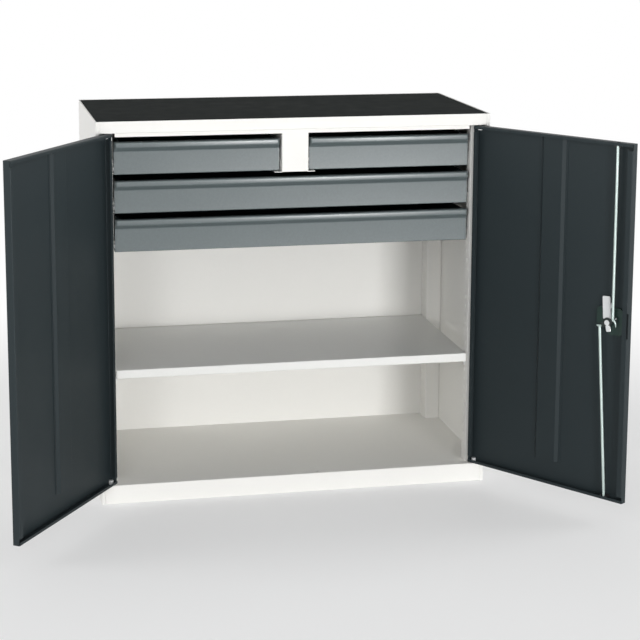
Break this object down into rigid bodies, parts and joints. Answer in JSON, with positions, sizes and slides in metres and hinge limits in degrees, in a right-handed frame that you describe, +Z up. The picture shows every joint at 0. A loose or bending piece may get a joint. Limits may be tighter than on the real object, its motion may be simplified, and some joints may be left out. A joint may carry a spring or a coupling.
{
  "type": "tool cabinet with doors",
  "caption": "Low steel tool cabinet with two hinged doors and a rod lock, roller drawers above, an adjustable shelf below and a rubber-covered top.",
  "frame": {"origin": "on the floor, at the middle of the body's width, in the plane of the body's front", "axes": "+X to the right seen from the front, +Y from the front to the back, +Z up"},
  "size_m": [1.5292, 0.909, 1],
  "materials": {
    "body": "off-white powder coat",
    "shelf": "light grey glossy coat",
    "mat": "smooth matt black rubber",
    "zinc": "bright zinc plate",
    "black_plastic": "black moulded plastic",
    "runner": "white epoxy coat",
    "roller": "ground steel of a ball bearing",
    "drawer_front": "mid grey powder coat",
    "door": "anthracite powder coat",
    "dark_zinc": "zinc plate with a black passivation",
    "lock_case": "dark green-black moulded plastic"
  },
  "bodies": {
    "cabinet": {"side_panel_left": "body", "side_panel_right": "body", "rear_upright_left": "body", "rear_upright_right": "body", "back_panel": "body", "top_panel": "body", "front_rail": "body", "plinth": "body", "floor_panel": "body", "centre_partition": "body", "shelf": "shelf", "top_mat": "mat", "shelf_clips": "zinc", "hinge_bushes": "black_plastic", "upper_left_cabinet_runners": "runner", "upper_right_cabinet_runners": "runner", "middle_cabinet_runners": "runner", "lower_cabinet_runners": "runner"},
    "upper_left_drawer": {"upper_left_drawer_front": "drawer_front", "upper_left_drawer_box": "door", "upper_left_drawer_slides": "runner"},
    "upper_left_front_roller_pair": {"upper_left_front_rollers": "roller"},
    "upper_left_rear_roller_pair": {"upper_left_rear_rollers": "roller"},
    "upper_right_drawer": {"upper_right_drawer_front": "drawer_front", "upper_right_drawer_box": "door", "upper_right_drawer_slides": "runner"},
    "upper_right_front_roller_pair": {"upper_right_front_rollers": "roller"},
    "upper_right_rear_roller_pair": {"upper_right_rear_rollers": "roller"},
    "middle_drawer": {"middle_drawer_front": "drawer_front", "middle_drawer_box": "door", "middle_drawer_slides": "runner"},
    "middle_front_roller_pair": {"middle_front_rollers": "roller"},
    "middle_rear_roller_pair": {"middle_rear_rollers": "roller"},
    "lower_drawer": {"lower_drawer_front": "drawer_front", "lower_drawer_box": "door", "lower_drawer_slides": "runner"},
    "lower_front_roller_pair": {"lower_front_rollers": "roller"},
    "lower_rear_roller_pair": {"lower_rear_rollers": "roller"},
    "left_door": {"left_door_leaf": "door", "left_door_stiffener": "door", "left_hinge_pins": "zinc"},
    "right_door": {"right_door_leaf": "door", "right_door_stiffener": "door", "right_hinge_pins": "zinc", "lock_case": "lock_case", "lock_bracket": "zinc", "rod_guides": "black_plastic", "handle_plate": "black_plastic", "lock_screw": "zinc"},
    "lock_spindle": {"lock_cam": "dark_zinc", "lock_shaft": "zinc", "shaft_nut": "zinc", "door_handle": "black_plastic"},
    "upper_rod": {"upper_lock_rod": "zinc"},
    "lower_rod": {"lower_lock_rod": "zinc"},
    "cylinder": {"key_cylinder": "zinc"}
  },
  "joints": [
    {"name": "left_door_hinge", "type": "hinge", "parent": "cabinet", "child": "left_door", "pos_m": [-0.49, 0.007, 0], "axis": [0, 0, -1], "range_deg": [-123, 4.5]},
    {"name": "right_door_hinge", "type": "hinge", "parent": "cabinet", "child": "right_door", "pos_m": [0.49, 0.007, 0], "axis": [0, 0, 1], "range_deg": [-124, 3.5]},
    {"name": "upper_left_drawer_slide", "type": "slide", "parent": "cabinet", "child": "upper_left_drawer", "axis": [0, -1, 0], "range_m": [0, 0.34]},
    {"name": "upper_left_front_roller_spin", "type": "hinge", "parent": "cabinet", "child": "upper_left_front_roller_pair", "pos_m": [0, 0.056, 0.8725], "axis": [1, 0, 0], "range_deg": [-5, 1960]},
    {"name": "upper_left_rear_roller_spin", "type": "hinge", "parent": "upper_left_drawer", "child": "upper_left_rear_roller_pair", "pos_m": [0, 0.468, 0.8725], "axis": [1, 0, 0], "range_deg": [-5, 1960]},
    {"name": "upper_right_drawer_slide", "type": "slide", "parent": "cabinet", "child": "upper_right_drawer", "axis": [0, -1, 0], "range_m": [0, 0.34]},
    {"name": "upper_right_front_roller_spin", "type": "hinge", "parent": "cabinet", "child": "upper_right_front_roller_pair", "pos_m": [0, 0.056, 0.8725], "axis": [1, 0, 0], "range_deg": [-5, 1960]},
    {"name": "upper_right_rear_roller_spin", "type": "hinge", "parent": "upper_right_drawer", "child": "upper_right_rear_roller_pair", "pos_m": [0, 0.468, 0.8725], "axis": [1, 0, 0], "range_deg": [-5, 1960]},
    {"name": "middle_drawer_slide", "type": "slide", "parent": "cabinet", "child": "middle_drawer", "axis": [0, -1, 0], "range_m": [0, 0.34]},
    {"name": "middle_front_roller_spin", "type": "hinge", "parent": "cabinet", "child": "middle_front_roller_pair", "pos_m": [0, 0.056, 0.7725], "axis": [1, 0, 0], "range_deg": [-5, 1960]},
    {"name": "middle_rear_roller_spin", "type": "hinge", "parent": "middle_drawer", "child": "middle_rear_roller_pair", "pos_m": [0, 0.468, 0.7725], "axis": [1, 0, 0], "range_deg": [-5, 1960]},
    {"name": "lower_drawer_slide", "type": "slide", "parent": "cabinet", "child": "lower_drawer", "axis": [0, -1, 0], "range_m": [0, 0.34]},
    {"name": "lower_front_roller_spin", "type": "hinge", "parent": "cabinet", "child": "lower_front_roller_pair", "pos_m": [0, 0.056, 0.6725], "axis": [1, 0, 0], "range_deg": [-5, 1960]},
    {"name": "lower_rear_roller_spin", "type": "hinge", "parent": "lower_drawer", "child": "lower_rear_roller_pair", "pos_m": [0, 0.468, 0.6725], "axis": [1, 0, 0], "range_deg": [-5, 1960]},
    {"name": "lock_turn", "type": "hinge", "parent": "right_door", "child": "lock_spindle", "pos_m": [0.72377, -0.34495, 0.51], "axis": [-0.829, -0.5592, 0], "range_deg": [0, 62]},
    {"name": "upper_rod_pivot", "type": "hinge", "parent": "lock_spindle", "child": "upper_rod", "pos_m": [0.73463, -0.36105, 0.52033], "axis": [-0.829, -0.5592, 0], "range_deg": [-66, 1]},
    {"name": "lower_rod_pivot", "type": "hinge", "parent": "lock_spindle", "child": "lower_rod", "pos_m": [0.71291, -0.32884, 0.49967], "axis": [-0.829, -0.5592, 0], "range_deg": [-66, 1]},
    {"name": "key_turn", "type": "hinge", "parent": "right_door", "child": "cylinder", "pos_m": [0.73206, -0.33935, 0.552], "axis": [-0.829, -0.5592, 0], "range_deg": [0, 90]}
  ],
  "couplings": [
    {"joint": "upper_left_front_roller_spin", "follows": "upper_left_drawer_slide", "rad_per_m": 100},
    {"joint": "upper_left_rear_roller_spin", "follows": "upper_left_drawer_slide", "rad_per_m": 100},
    {"joint": "upper_right_front_roller_spin", "follows": "upper_right_drawer_slide", "rad_per_m": 100},
    {"joint": "upper_right_rear_roller_spin", "follows": "upper_right_drawer_slide", "rad_per_m": 100},
    {"joint": "middle_front_roller_spin", "follows": "middle_drawer_slide", "rad_per_m": 100},
    {"joint": "middle_rear_roller_spin", "follows": "middle_drawer_slide", "rad_per_m": 100},
    {"joint": "lower_front_roller_spin", "follows": "lower_drawer_slide", "rad_per_m": 100},
    {"joint": "lower_rear_roller_spin", "follows": "lower_drawer_slide", "rad_per_m": 100},
    {"joint": "upper_rod_pivot", "follows": "lock_turn", "ratio": -1.0412},
    {"joint": "lower_rod_pivot", "follows": "lock_turn", "ratio": -1.0395}
  ]
}
